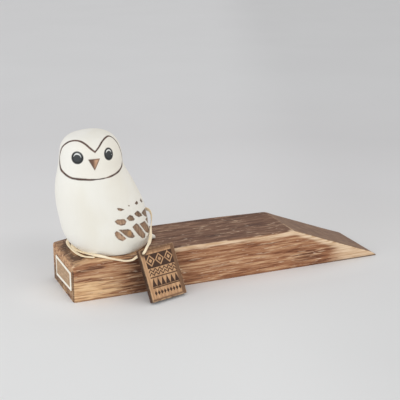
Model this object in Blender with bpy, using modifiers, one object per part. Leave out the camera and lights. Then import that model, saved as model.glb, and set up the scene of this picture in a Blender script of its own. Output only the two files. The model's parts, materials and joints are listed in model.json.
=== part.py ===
"""Carved owl on a wooden door wedge, with a hang tag tied round it by a cord.

Metres, +Z up. The ramp of the wedge runs down towards +X and the owl sits at the -X end. The origin is on
the floor, under the middle of the box that holds the wedge and the owl.
"""
import math

import bmesh
import bpy
from mathutils import Matrix, Vector

# Gap kept between pieces that touch
FIT_GAP = 0.0003

# Wedge
WEDGE_LENGTH = 0.2895
WEDGE_WIDTH = 0.0600
WEDGE_HEIGHT = 0.0353
WEDGE_FLAT = 0.2035  # level top, from the owl's end to the start of the ramp
WEDGE_TIP = 0.0024  # height left at the thin end
WEDGE_WORN_LENGTH = 0.0200  # stretch of the top that is worn down towards the owl's end
WEDGE_WORN_DROP = 0.0032
WEDGE_ROUND = 0.0020  # rounding of the rubbed edges
WEDGE_ROUND_STEPS = 3

# Owl, as wide as the wedge: reaches are measured from an upright line on the wedge's middle plane
OWL_LINE = 0.0360  # from the wedge's end to that line
OWL_SETBACK = 0.0002  # of its widest place, from the wedge's sides
OWL_PROFILE = (  # height above the wedge, reach of the breast, reach of the back, per cent of the widest place
    (0.0000, 0.0200, 0.0350, 93.0),
    (0.0030, 0.0253, 0.0390, 97.2),
    (0.0080, 0.0304, 0.0412, 99.6),
    (0.0165, 0.0344, 0.0394, 100.0),
    (0.0270, 0.0368, 0.0378, 98.7),
    (0.0395, 0.0388, 0.0343, 97.3),
    (0.0520, 0.0395, 0.0286, 93.3),
    (0.0620, 0.0384, 0.0234, 87.2),
    (0.0720, 0.0360, 0.0182, 83.2),
    (0.0820, 0.0345, 0.0169, 82.6),
    (0.0908, 0.0325, 0.0141, 77.2),
    (0.0970, 0.0268, 0.0092, 60.4),
    (0.1003, 0.0160, 0.0022, 30.9),
    (0.1013, 0.0060, -0.0060, 0.0),
)
OWL_SIDES = 48
OWL_RINGS = 40

# Tail: a blunt point that runs out low over the wedge
TAIL_REACH = 0.0465  # its tip, behind the owl's line
TAIL_TIP_HEIGHT = 0.0022
TAIL_TIP_RADIUS = 0.0004
TAIL_LENGTH = 0.0200
TAIL_ROOT_HEIGHT = 0.0080
TAIL_ROOT_RADIUS = 0.0075
TAIL_SIDES = 16

# Face: angles in degrees from the face's middle, heights above the wedge
FACE_TURN = -100.0  # the face's middle, from the tail
FACE_OUTLINE = (  # from the notch between the eyes, over one brow, under the beak and back over the other
    (0.0, 0.0887), (9.5, 0.0920), (22.0, 0.0954), (38.0, 0.0972), (54.0, 0.0970), (65.0, 0.0950),
    (70.0, 0.0905), (75.0, 0.0840), (78.0, 0.0775), (70.0, 0.0724), (54.0, 0.0694), (36.0, 0.0674),
    (17.0, 0.0664), (0.0, 0.0661), (-17.0, 0.0664), (-36.0, 0.0674), (-54.0, 0.0694), (-70.0, 0.0724),
    (-80.0, 0.0775), (-81.0, 0.0840), (-76.0, 0.0895), (-67.0, 0.0935), (-54.0, 0.0960), (-38.0, 0.0966),
    (-22.0, 0.0954), (-9.5, 0.0920), (0.0, 0.0887),
)
FACE_LINE_WIDTH = 0.0011
FACE_LINE_POINTS = 64
EYES = ((-30.7, 0.0839), (30.7, 0.0856))  # their middles
EYE_HALF_ANGLE = 11.6
EYE_HALF_HEIGHT = 0.0048
EYE_LINE_POINTS = 20

# Beak: a low three-sided point
BEAK_HEIGHT = 0.0802  # its middle
BEAK_RADIUS = 0.0042  # of the triangle where it leaves the face
BEAK_RISE = 0.0014
BEAK_SINK = 0.0030

# Wing feathers, gouged alike into both sides: angle from the tail, height, length, width, lean
FEATHERS = (
    (26.8, 0.0402, 0.0052, 0.0030, 70.0),
    (43.4, 0.0408, 0.0052, 0.0030, 60.0),
    (75.3, 0.0397, 0.0085, 0.0034, 15.0),
    (79.7, 0.0295, 0.0135, 0.0062, 8.0),
    (62.2, 0.0306, 0.0085, 0.0062, 20.0),
    (43.4, 0.0315, 0.0085, 0.0062, 42.0),
    (25.0, 0.0300, 0.0080, 0.0048, 58.0),
    (85.2, 0.0178, 0.0120, 0.0054, 46.0),
    (73.0, 0.0182, 0.0180, 0.0060, 36.0),
    (54.6, 0.0168, 0.0205, 0.0060, 52.0),
    (39.6, 0.0178, 0.0170, 0.0058, 55.0),
    (22.5, 0.0175, 0.0140, 0.0046, 62.0),
)
FEATHER_DEPTH = 0.0013

# Two wood screws from below
SCREW_MIDDLE = 0.0430  # from the wedge's end to the middle of the pair
SCREW_SPACING = 0.0200
SCREW_SHANK_RADIUS = 0.0020
SCREW_HEAD_RADIUS = 0.0040
SCREW_HEAD_HEIGHT = 0.0026
SCREW_SUNK = 0.0080  # depth of the seat in the wedge, from below
SCREW_GRIP = 0.0240  # length held in the owl
SCREW_POINT = 0.0050
SCREW_SIDES = 20

# Plate on the wedge's end
LABEL_WIDTH = 0.0460
LABEL_HEIGHT = 0.0185
LABEL_THICK = 0.0008
LABEL_ASIDE = -0.0034  # its middle, from the wedge's middle plane
LABEL_UP = 0.0162  # its middle, from the floor
LABEL_ROUND = 0.0012

# Hang tag, standing on the floor and leaning on the wedge's upper edge
TAG_WIDTH = 0.0350
TAG_HEIGHT = 0.0440
TAG_THICK = 0.0050
TAG_ROUND = 0.0010
TAG_HOLE_RADIUS = 0.0015
TAG_HOLE_INSET = 0.0032  # from the tag's top and side edges
TAG_HOLE_PLACE = 0.0560  # from the wedge's end
TAG_TURN = math.radians(16.0)
TAG_LEAN = math.radians(26.0)

# Cord: route points in millimetres, from the wedge's end, its middle plane and the floor
CORD_RADIUS = 0.0009
CORD_STEP = 0.0045
CORD_RESOLUTION = 2
ROUTE_UNIT = 0.001
TAIL_ROUTE = (  # the loose end, from beside the owl's foot round its breast
    (19.5, -27.6, 36.5), (16.4, -24.6, 36.1), (12.4, -18.4, 35.4), (10.0, -8.6, 35.0), (9.1, 2.6, 34.9),
    (9.1, 13.4, 34.9), (10.5, 21.8, 35.3), (13.8, 25.6, 36.4),
)
KNOT_PLACE = (18.3, 26.4, 37.6)
KNOT_RADIUS = 0.0021
WRAP_ROUTE = (  # up across the back, over the tail and down to the tag
    (25.6, 27.6, 39.2), (34.4, 30.6, 42.6), (44.0, 31.3, 46.3), (53.4, 29.8, 50.0), (61.6, 25.9, 53.3),
    (68.8, 19.3, 56.6), (74.4, 11.6, 59.6), (78.0, 3.6, 61.0), (78.9, -1.4, 57.8), (77.2, -6.2, 53.0),
    (74.7, -11.8, 49.5), (72.5, -17.1, 46.1), (69.6, -23.8, 44.5), (66.4, -30.2, 43.7),
)
LOOP_ROUTE = (  # through the tag, from its hole: across the tag, into it and up it
    (7.9, -1.0, 5.9), (4.6, -3.9, 4.6), (2.2, -5.1, 2.9), (0.7, -4.4, 1.2), (0.1, -2.2, 0.1), (0.0, 1.4, 0.0),
    (-0.6, 4.4, -0.4), (-2.4, 7.2, -1.6),
)
RETURN_ROUTE = (  # sagging past the wedge's front, then round the owl's foot
    (49.6, -33.0, 31.4), (44.4, -31.8, 31.2), (38.0, -31.6, 33.1), (31.6, -31.4, 35.2), (26.4, -29.6, 36.8),
    (21.4, -23.4, 36.7), (16.9, -15.8, 36.2), (13.4, -7.6, 35.6), (11.6, 0.4, 35.3), (11.6, 8.4, 35.3),
    (13.6, 16.4, 35.8), (17.0, 21.6, 36.6),
)

WEDGE_END = -(WEDGE_LENGTH + OWL_LINE - max(row[1] for row in OWL_PROFILE)) / 2
OWL_X = WEDGE_END + OWL_LINE
OWL_BASE = WEDGE_HEIGHT + FIT_GAP
EDGE_ROUND = min(WEDGE_ROUND, WEDGE_TIP - FIT_GAP)
WELD = 0.00001


def clear_scene():
    for item in list(bpy.data.objects):
        bpy.data.objects.remove(item, do_unlink=True)


def new_collection(name):
    collection = bpy.data.collections.new(name)
    bpy.context.scene.collection.children.link(collection)
    return collection


def material(name, colour, roughness, metallic=0.0):
    made = bpy.data.materials.new(name)
    made.use_nodes = True
    shader = made.node_tree.nodes["Principled BSDF"]
    shader.inputs["Base Color"].default_value = (*colour, 1.0)
    shader.inputs["Roughness"].default_value = roughness
    shader.inputs["Metallic"].default_value = metallic
    return made


def add_object(name, data, finish=None):
    """A part when it has a finish, and otherwise a cutter."""
    item = bpy.data.objects.new(name, data)
    if finish is None:
        cutters.objects.link(item)
        item.hide_render = True
        item.display_type = "WIRE"
    else:
        parts.objects.link(item)
        data.materials.append(finish)
    return item


def add_mesh(name, bm, finish=None, sharp=30.0):
    bmesh.ops.recalc_face_normals(bm, faces=bm.faces[:])
    mesh = bpy.data.meshes.new(name)
    bm.to_mesh(mesh)
    bm.free()
    mesh.shade_smooth()
    mesh.set_sharp_from_angle(angle=math.radians(sharp))
    return add_object(name, mesh, finish)


def combine(target, tool, operation):
    step = target.modifiers.new(tool.name, "BOOLEAN")
    step.operation = operation
    step.object = tool
    step.solver = "EXACT"


def curve_point(knots, span, t):
    """Point on the smooth curve through the knots, a share t along one span."""
    start, end = knots[span], knots[span + 1]
    leave = (end - knots[span - 1]) / 2 if span > 0 else end - start
    arrive = (knots[span + 2] - start) / 2 if span + 2 < len(knots) else end - start
    return (
        start * (2 * t**3 - 3 * t**2 + 1) + leave * (t**3 - 2 * t**2 + t)
        + end * (3 * t**2 - 2 * t**3) + arrive * (t**3 - t**2)
    )


def even_points(knots, count):
    """Points at even steps along the smooth curve through the knots."""
    fine_steps = 24
    fine = [curve_point(knots, span, k / fine_steps) for span in range(len(knots) - 1) for k in range(fine_steps)]
    fine.append(knots[-1])
    travelled = [0.0]
    for first, second in zip(fine, fine[1:]):
        travelled.append(travelled[-1] + (second - first).length)
    points = []
    at = 0
    for index in range(count):
        want = travelled[-1] * index / (count - 1)
        while at < len(fine) - 2 and travelled[at + 1] < want:
            at += 1
        share = (want - travelled[at]) / (travelled[at + 1] - travelled[at])
        points.append(fine[at].lerp(fine[at + 1], min(share, 1.0)))
    return points


def owl_rings(count):
    widest = WEDGE_WIDTH / 2 - OWL_SETBACK
    knots = [
        Vector((height, breast, back, per_cent / 100 * widest)) for height, breast, back, per_cent in OWL_PROFILE
    ]
    return even_points(knots, count)


def ring_point(row, angle):
    height, breast, back, half_width = row
    return Vector((
        OWL_X + (back - breast) / 2 + (back + breast) / 2 * math.cos(angle),
        half_width * math.sin(angle),
        OWL_BASE + height,
    ))


def owl_point(degrees, height):
    """Point on the owl's skin; the angle is turned from the tail."""
    rows = owl_rings(160)
    above = next(at for at, row in enumerate(rows) if at > 0 and row[0] >= height)
    low, high = rows[above - 1], rows[above]
    return ring_point(low.lerp(high, (height - low[0]) / (high[0] - low[0])), math.radians(degrees))


def owl_frame(degrees, height):
    """Matrix on the owl's skin: X level along it, Y up it and Z out of it."""
    turn_step = 1.0
    rise_step = 0.0005
    along = owl_point(degrees + turn_step, height) - owl_point(degrees - turn_step, height)
    up = owl_point(degrees, height + rise_step) - owl_point(degrees, height - rise_step)
    out = along.cross(up).normalized()
    along.normalize()
    place = Matrix((along, out.cross(along), out)).transposed().to_4x4()
    place.translation = owl_point(degrees, height)
    return place


def rod(name, radius, place, length):
    """Round cutter along the Z axis of its place."""
    bm = bmesh.new()
    bmesh.ops.create_cone(
        bm, cap_ends=True, segments=SCREW_SIDES, radius1=radius, radius2=radius, depth=length, matrix=place
    )
    return add_mesh(name, bm)


def upright_rod(name, radius, x, bottom, top):
    return rod(name, radius, Matrix.Translation((x, 0.0, (bottom + top) / 2)), top - bottom)


def plate(width, thick, height, rounding):
    """Slab across X and Z, its four corners rounded."""
    bm = bmesh.new()
    bmesh.ops.create_cube(bm, size=1.0, matrix=Matrix.Diagonal((width, thick, height, 1.0)))
    corners = [edge for edge in bm.edges if abs(edge.verts[0].co.y - edge.verts[1].co.y) > thick / 2]
    bmesh.ops.bevel(bm, geom=corners, offset=rounding, segments=3, profile=0.5, affect="EDGES")
    return bm


def tube(name, points, radius, finish=None, closed=False):
    curve = bpy.data.curves.new(name, "CURVE")
    curve.dimensions = "3D"
    curve.bevel_depth = radius
    curve.bevel_resolution = CORD_RESOLUTION
    curve.use_fill_caps = not closed
    spline = curve.splines.new("POLY")
    spline.points.add(len(points) - 1)
    for knot, point in zip(spline.points, points):
        knot.co = (*point, 1.0)
    spline.use_cyclic_u = closed
    return add_object(name, curve, finish)


def mesh_cutter(item):
    """The same cutter as a welded mesh, which a Boolean can use."""
    graph = bpy.context.evaluated_depsgraph_get()
    mesh = bpy.data.meshes.new_from_object(item.evaluated_get(graph))
    name = item.name
    bpy.data.objects.remove(item, do_unlink=True)
    bm = bmesh.new()
    bm.from_mesh(mesh)
    bmesh.ops.remove_doubles(bm, verts=bm.verts[:], dist=WELD)
    return add_mesh(name, bm)


def screw_places():
    middle = WEDGE_END + SCREW_MIDDLE
    return {"screw_front": middle - SCREW_SPACING / 2, "screw_rear": middle + SCREW_SPACING / 2}


def make_wedge():
    bm = bmesh.new()
    tip = WEDGE_END + WEDGE_LENGTH
    ridge = WEDGE_END + WEDGE_FLAT
    outline = (
        (WEDGE_END, 0.0), (tip, 0.0), (tip, WEDGE_TIP), (ridge, WEDGE_HEIGHT),
        (WEDGE_END + WEDGE_WORN_LENGTH, WEDGE_HEIGHT), (WEDGE_END, WEDGE_HEIGHT - WEDGE_WORN_DROP),
    )
    side = bm.faces.new([bm.verts.new((x, -WEDGE_WIDTH / 2, z)) for x, z in outline])
    grown = bmesh.ops.extrude_face_region(bm, geom=[side])
    moved = [piece for piece in grown["geom"] if isinstance(piece, bmesh.types.BMVert)]
    bmesh.ops.translate(bm, verts=moved, vec=(0.0, WEDGE_WIDTH, 0.0))
    bmesh.ops.recalc_face_normals(bm, faces=bm.faces[:])
    rubbed = []
    for edge in bm.edges:
        first, second = edge.verts
        middle = (first.co + second.co) / 2
        runs_across = abs(first.co.y - second.co.y) > WEDGE_WIDTH / 2
        at_end = abs(middle.x - WEDGE_END) < FIT_GAP
        if middle.z > WEDGE_TIP and (at_end or not runs_across):
            rubbed.append(edge)
    bmesh.ops.bevel(
        bm, geom=rubbed, offset=EDGE_ROUND, segments=WEDGE_ROUND_STEPS, profile=0.5, affect="EDGES"
    )
    wedge = add_mesh("wedge_base", bm, material("burnt_wood", (0.42, 0.24, 0.13), 0.65))
    for name, x in screw_places().items():
        seat = upright_rod(name + "_seat", SCREW_HEAD_RADIUS + FIT_GAP, x, -FIT_GAP, SCREW_SUNK)
        way = upright_rod(name + "_way", SCREW_SHANK_RADIUS + FIT_GAP, x, -FIT_GAP, WEDGE_HEIGHT + FIT_GAP)
        combine(wedge, seat, "DIFFERENCE")
        combine(wedge, way, "DIFFERENCE")


def make_screws():
    """Turned profiles, from the point down to the head."""
    head_top = SCREW_SUNK - FIT_GAP
    head_foot = head_top - SCREW_HEAD_HEIGHT
    point = OWL_BASE + SCREW_GRIP
    profile = (
        (0.0, point), (SCREW_SHANK_RADIUS, point - SCREW_POINT), (SCREW_SHANK_RADIUS, head_top),
        (SCREW_HEAD_RADIUS, head_top), (SCREW_HEAD_RADIUS, head_foot), (0.0, head_foot),
    )
    mesh = bpy.data.meshes.new("wood_screw")
    edges = [(at, at + 1) for at in range(len(profile) - 1)]
    mesh.from_pydata([(radius, 0.0, z) for radius, z in profile], edges, [])
    steel = material("screw_steel", (0.55, 0.54, 0.52), 0.4, 1.0)
    for name, x in screw_places().items():
        screw = add_object(name, mesh.copy(), steel)
        screw.location.x = x
        turn = screw.modifiers.new("turn", "SCREW")
        turn.axis = "Z"
        turn.steps = SCREW_SIDES
        turn.render_steps = SCREW_SIDES
        turn.use_merge_vertices = True
        turn.merge_threshold = WELD


def owl_body():
    """A sphere whose rings are drawn out to the owl's sections; its lowest ring is the edge of the foot."""
    bm = bmesh.new()
    bmesh.ops.create_uvsphere(bm, u_segments=OWL_SIDES, v_segments=OWL_RINGS, radius=1.0)
    rows = owl_rings(OWL_RINGS)
    foot_middle = OWL_X + (OWL_PROFILE[0][2] - OWL_PROFILE[0][1]) / 2
    for vert in bm.verts:
        angle = math.atan2(vert.co.y, vert.co.x)
        up_share = 1.0 - math.acos(max(-1.0, min(1.0, vert.co.z))) / math.pi
        ring = round(OWL_RINGS * up_share)
        vert.co = ring_point(rows[ring - 1], angle) if ring > 0 else (foot_middle, 0.0, OWL_BASE)
    return bm


def tail_tool():
    tip = Vector((OWL_X + TAIL_REACH, 0.0, OWL_BASE + TAIL_TIP_HEIGHT))
    root = Vector((tip.x - TAIL_LENGTH, 0.0, OWL_BASE + TAIL_ROOT_HEIGHT))
    place = (tip - root).to_track_quat("Z", "Y").to_matrix().to_4x4()
    place.translation = (tip + root) / 2
    bm = bmesh.new()
    bmesh.ops.create_cone(
        bm, cap_ends=True, segments=TAIL_SIDES, radius1=TAIL_ROOT_RADIUS, radius2=TAIL_TIP_RADIUS,
        depth=(tip - root).length, matrix=place,
    )
    return add_mesh("tail", bm)


def beak_tool():
    depth = BEAK_RISE + BEAK_SINK
    place = owl_frame(FACE_TURN, BEAK_HEIGHT) @ Matrix.Translation((0.0, 0.0, BEAK_RISE - depth / 2))
    bm = bmesh.new()
    bmesh.ops.create_cone(
        bm, cap_ends=True, segments=3, radius1=BEAK_RADIUS * depth / BEAK_RISE, radius2=0.0, depth=depth,
        matrix=place @ Matrix.Rotation(math.pi, 4, "Z"),
    )
    bmesh.ops.remove_doubles(bm, verts=bm.verts[:], dist=WELD)
    return add_mesh("beak", bm)


def groove_tool(name, points):
    return mesh_cutter(tube(name, points, FACE_LINE_WIDTH / 2, closed=True))


def face_line_tool():
    knots = [owl_point(FACE_TURN + degrees, height) for degrees, height in FACE_OUTLINE]
    return groove_tool("face_line", even_points(knots, FACE_LINE_POINTS + 1)[:-1])


def eye_line_tool(degrees, height):
    points = []
    for step in range(EYE_LINE_POINTS):
        turn = 2 * math.pi * step / EYE_LINE_POINTS
        aside = FACE_TURN + degrees + EYE_HALF_ANGLE * math.cos(turn)
        points.append(owl_point(aside, height + EYE_HALF_HEIGHT * math.sin(turn)))
    return groove_tool("eye_line", points)


def feather_tool():
    bm = bmesh.new()
    for side in (-1, 1):
        for degrees, height, length, width, lean in FEATHERS:
            turn = Matrix.Rotation(side * math.radians(lean), 4, "Z")
            size = Matrix.Diagonal((length / 2, width / 2, FEATHER_DEPTH, 1.0))
            place = owl_frame(side * degrees, height) @ turn @ size
            bmesh.ops.create_uvsphere(bm, u_segments=12, v_segments=6, radius=1.0, matrix=place)
    return add_mesh("feathers", bm)


def make_owl():
    owl = add_mesh("owl_figure", owl_body(), material("white_paint", (0.86, 0.84, 0.79), 0.5))
    combine(owl, tail_tool(), "UNION")
    combine(owl, beak_tool(), "UNION")
    combine(owl, face_line_tool(), "DIFFERENCE")
    for degrees, height in EYES:
        combine(owl, eye_line_tool(degrees, height), "DIFFERENCE")
    combine(owl, feather_tool(), "DIFFERENCE")
    for name, x in screw_places().items():
        top = OWL_BASE + SCREW_GRIP + FIT_GAP
        pilot = upright_rod(name + "_pilot", SCREW_SHANK_RADIUS + FIT_GAP, x, OWL_BASE - FIT_GAP, top)
        combine(owl, pilot, "DIFFERENCE")


def make_label():
    bm = plate(LABEL_WIDTH, LABEL_THICK, LABEL_HEIGHT, LABEL_ROUND)
    label = add_mesh("end_label", bm, material("label_wood", (0.45, 0.34, 0.24), 0.6))
    label.location = (WEDGE_END - FIT_GAP - LABEL_THICK / 2, LABEL_ASIDE, LABEL_UP)
    label.rotation_euler.z = math.pi / 2


def make_tag_pivot():
    """Empty in the tag's hole, turned with the tag, where the tag's foot is on the floor and its back on the wedge."""
    outward = Vector((
        math.sin(TAG_TURN) * math.cos(TAG_LEAN), -math.cos(TAG_TURN) * math.cos(TAG_LEAN), math.sin(TAG_LEAN),
    ))
    far_side = (TAG_WIDTH - TAG_HOLE_INSET) * math.cos(TAG_TURN)
    edge_y = -WEDGE_WIDTH / 2 + EDGE_ROUND
    edge_z = WEDGE_HEIGHT - EDGE_ROUND
    x = WEDGE_END + TAG_HOLE_PLACE
    z = FIT_GAP + (TAG_HEIGHT - TAG_HOLE_INSET) * math.cos(TAG_LEAN) + TAG_THICK / 2 * math.sin(TAG_LEAN)
    clear = EDGE_ROUND + FIT_GAP + TAG_THICK / 2
    y = edge_y + (clear + far_side * outward.x - (z - edge_z) * outward.z) / outward.y
    pivot = bpy.data.objects.new("tag_pivot", None)
    parts.objects.link(pivot)
    pivot.location = (x, y, z)
    pivot.rotation_euler = (-TAG_LEAN, 0.0, TAG_TURN)
    bpy.context.view_layer.update()
    return pivot


def make_tag(pivot):
    bm = plate(TAG_WIDTH, TAG_THICK, TAG_HEIGHT, TAG_ROUND)
    shift = (TAG_WIDTH / 2 - TAG_HOLE_INSET, 0.0, TAG_HOLE_INSET - TAG_HEIGHT / 2)
    bmesh.ops.translate(bm, verts=bm.verts[:], vec=shift)
    tag = add_mesh("hang_tag", bm, material("tag_wood", (0.40, 0.27, 0.16), 0.6))
    tag.parent = pivot
    through = Matrix.Rotation(math.pi / 2, 4, "X")
    hole = rod("tag_hole", TAG_HOLE_RADIUS, through, TAG_THICK + 2 * FIT_GAP)
    hole.parent = pivot
    combine(tag, hole, "DIFFERENCE")


def route_knots(route):
    start = Vector((WEDGE_END, 0.0, 0.0))
    return [start + Vector(point) * ROUTE_UNIT for point in route]


def cord_stretch(knots, first, last):
    """Points along the cord from one knot to another, its ends drawn in by the gap."""
    points = []
    for span in range(first, last):
        steps = max(1, round((knots[span + 1] - knots[span]).length / CORD_STEP))
        points += [curve_point(knots, span, k / steps) for k in range(steps)]
    points.append(knots[last])
    points[0] = points[0] + (points[1] - points[0]).normalized() * FIT_GAP
    points[-1] = points[-1] + (points[-2] - points[-1]).normalized() * FIT_GAP
    return points


def clear_of_knot(points, centre):
    """The points outside the knot, ending at the gap from it."""
    reach = KNOT_RADIUS + FIT_GAP
    outside = [point for point in points if (point - centre).length > reach + CORD_RADIUS]
    first_near = (points[0] - centre).length < (points[-1] - centre).length
    near = outside[0] if first_near else outside[-1]
    meet = centre + (near - centre).normalized() * reach
    return [meet] + outside if first_near else outside + [meet]


def make_cord(pivot):
    straw = material("straw", (0.80, 0.68, 0.47), 0.8)
    knot_place = route_knots([KNOT_PLACE])
    loop = [pivot.matrix_world @ (Vector(point) * ROUTE_UNIT) for point in LOOP_ROUTE]
    knots = route_knots(TAIL_ROUTE) + knot_place + route_knots(WRAP_ROUTE) + loop
    knots += route_knots(RETURN_ROUTE) + knot_place
    tied = len(TAIL_ROUTE)
    loop_start = tied + 1 + len(WRAP_ROUTE)
    loop_end = loop_start + len(loop) - 1
    centre = knot_place[0]
    tube("cord_tail", clear_of_knot(cord_stretch(knots, 0, tied), centre), CORD_RADIUS, straw)
    tube("cord_wrap", clear_of_knot(cord_stretch(knots, tied, loop_start), centre), CORD_RADIUS, straw)
    back_to_knot = cord_stretch(knots, loop_end, len(knots) - 1)
    tube("cord_return", clear_of_knot(back_to_knot, centre), CORD_RADIUS, straw)
    to_pivot = pivot.matrix_world.inverted()
    threaded = [to_pivot @ point for point in cord_stretch(knots, loop_start, loop_end)]
    tube("cord_tag_loop", threaded, CORD_RADIUS, straw).parent = pivot
    bm = bmesh.new()
    bmesh.ops.create_uvsphere(bm, u_segments=16, v_segments=10, radius=KNOT_RADIUS)
    add_mesh("cord_knot", bm, straw).location = centre


clear_scene()
parts = new_collection("owl_door_wedge")
cutters = new_collection("cutters")
make_wedge()
make_owl()
make_screws()
make_label()
tag_pivot = make_tag_pivot()
make_tag(tag_pivot)
make_cord(tag_pivot)
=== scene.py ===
"""Looks of the owl on its door wedge: paint, burnt wood, tag, straw cord, floor, light and camera."""
import json
import math

import bmesh
import bpy
import numpy as np
from mathutils import Matrix, Vector, noise


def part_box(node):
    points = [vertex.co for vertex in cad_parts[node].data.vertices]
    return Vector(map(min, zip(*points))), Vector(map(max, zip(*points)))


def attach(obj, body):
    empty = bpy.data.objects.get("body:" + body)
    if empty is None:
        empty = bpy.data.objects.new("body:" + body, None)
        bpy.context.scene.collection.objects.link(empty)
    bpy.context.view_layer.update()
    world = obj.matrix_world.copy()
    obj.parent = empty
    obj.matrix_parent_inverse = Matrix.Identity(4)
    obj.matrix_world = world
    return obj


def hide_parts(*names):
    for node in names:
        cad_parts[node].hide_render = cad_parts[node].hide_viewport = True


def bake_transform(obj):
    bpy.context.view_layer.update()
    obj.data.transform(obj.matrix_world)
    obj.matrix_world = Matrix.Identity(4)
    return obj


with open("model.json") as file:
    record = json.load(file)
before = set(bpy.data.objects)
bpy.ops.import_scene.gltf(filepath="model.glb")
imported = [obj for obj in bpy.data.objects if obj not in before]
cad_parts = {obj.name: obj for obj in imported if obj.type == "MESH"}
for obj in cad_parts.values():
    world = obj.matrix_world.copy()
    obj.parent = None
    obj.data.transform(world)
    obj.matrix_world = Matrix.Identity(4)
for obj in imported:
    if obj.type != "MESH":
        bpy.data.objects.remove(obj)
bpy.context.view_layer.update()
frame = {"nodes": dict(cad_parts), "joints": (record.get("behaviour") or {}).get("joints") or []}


BLACK = (0.0, 0.0, 0.0, 1.0)
WHITE = (1.0, 1.0, 1.0, 1.0)


def srgb(red, green, blue):
    """Linear colour, with alpha, of a screen colour."""
    return tuple(((part / 255 + 0.055) / 1.055) ** 2.4 for part in (red, green, blue)) + (1.0,)


# Places from the frame
wedge_low, wedge_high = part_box("wedge_base")
label_low, label_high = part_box("end_label")
swing = next(joint for joint in frame["joints"] if joint["name"] == "tag_swing")
WEDGE_END = wedge_low.x
WEDGE_POINT = wedge_high.x
WEDGE_TOP = wedge_high.z
WEDGE_SIDE = wedge_high.y
OWL_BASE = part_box("owl_figure")[0].z
TAG_PIVOT = Vector(swing["pos_m"])
TAG_LEVEL = -Vector(swing["axis"])

# Wedge
RIDGE = WEDGE_END + 0.2035
WORN_LENGTH = 0.0200  # of the top, worn down towards the owl's end
WORN_DROP = 0.0032
POINT_HEIGHT = 0.0022
POINT_THINNING = 0.0013  # of its last stretch
POINT_STRETCH = 0.0050
FRONT_ROUND = 0.0024
FRONT_WANDER = 0.0007
FAR_ROUNDS = (0.0006, 0.0034)  # of the level part and of the ramp
FAR_SPREAD = 0.0030  # of the far side, left of the ridge
FAR_SPREAD_RUN = 0.0600
END_ROUND = 0.0020
RIDGE_SOFTNESS = 0.0005
RUB_REACH = (  # from the owl's end, and how far down the side its upper edge is rubbed pale
    (0.070, 0.0002), (0.090, 0.0054), (0.150, 0.0058), (0.178, 0.0074), (0.190, 0.0070), (0.204, 0.0064),
    (0.222, 0.0066), (0.231, 0.0078), (0.240, 0.0092), (0.250, 0.0105), (0.262, 0.0125), (0.290, 0.0200),
)
RUB_START = (  # from the owl's end, and how far below the top that begins
    (0.120, 0.0), (0.145, 0.0014), (0.185, 0.0018), (0.202, 0.0004), (0.215, 0.0),
)
SIDE_STREAKS = (  # dark streaks: ends from the owl's end, height, slope, half width, strength
    (0.003, 0.026, 0.0268, 0.035, 0.0018, 0.75), (0.007, 0.027, 0.0212, 0.020, 0.0007, 0.60),
    (0.027, 0.054, 0.0228, -0.080, 0.0007, 0.65), (0.010, 0.026, 0.0172, 0.010, 0.0005, 0.45),
    (0.022, 0.037, 0.0150, 0.0, 0.0007, 0.60), (0.006, 0.022, 0.0108, 0.010, 0.0006, 0.45),
    (0.024, 0.066, 0.0082, -0.050, 0.0017, 0.65),
)
DARK_PATCH = ((0.214, 0.009), (0.027, 0.010), 0.58)  # of the side: middle, reach and strength
FOOT_RING = (0.0075, 0.0325, 0.0290)  # round the owl's foot: middle behind the owl's, half length, half width
SEAT_RADIUS = 0.0043  # of the screws' heads
SEAT_DEPTH = 0.0080
SCREWS = ("screw_front", "screw_rear")
WEDGE_STEP = 0.0016  # of the skin along it
RIDGE_STRETCH = 0.0060  # on each side of the ridge, with finer steps

# Owl: height above the wedge, reach of the breast, reach of the back, per cent of the widest place
OWL_X = WEDGE_END + 0.0360
OWL_HALF_WIDTH = WEDGE_SIDE - 0.0002
OWL_PROFILE = (
    (0.0000, 0.0222, 0.0352, 95.0),
    (0.0030, 0.0258, 0.0390, 97.8),
    (0.0080, 0.0304, 0.0412, 99.6),
    (0.0165, 0.0344, 0.0394, 100.0),
    (0.0270, 0.0368, 0.0378, 98.7),
    (0.0395, 0.0388, 0.0343, 97.3),
    (0.0520, 0.0395, 0.0286, 93.3),
    (0.0620, 0.0384, 0.0234, 87.2),
    (0.0720, 0.0360, 0.0182, 83.2),
    (0.0820, 0.0345, 0.0169, 82.6),
    (0.0908, 0.0325, 0.0141, 77.2),
    (0.0970, 0.0268, 0.0092, 60.4),
    (0.1003, 0.0160, 0.0022, 30.9),
    (0.1013, 0.0061, -0.0059, 0.4),
)
OWL_RINGS = 300
OWL_SIDES = 420
TAIL_REACH = 0.0465
TAIL_LENGTH = 0.0200
TAIL_HEIGHTS = (0.0080, 0.0010)
TAIL_RADII = (0.0075, 0.0015)
TAIL_NEAR = (0.0200, 0.0100, 0.0180)  # the skin that it can change: behind, aside and above
SCUFF_TURN = -45.0  # of the browner paint at the foot's lowest edge, in degrees from the tail
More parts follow.
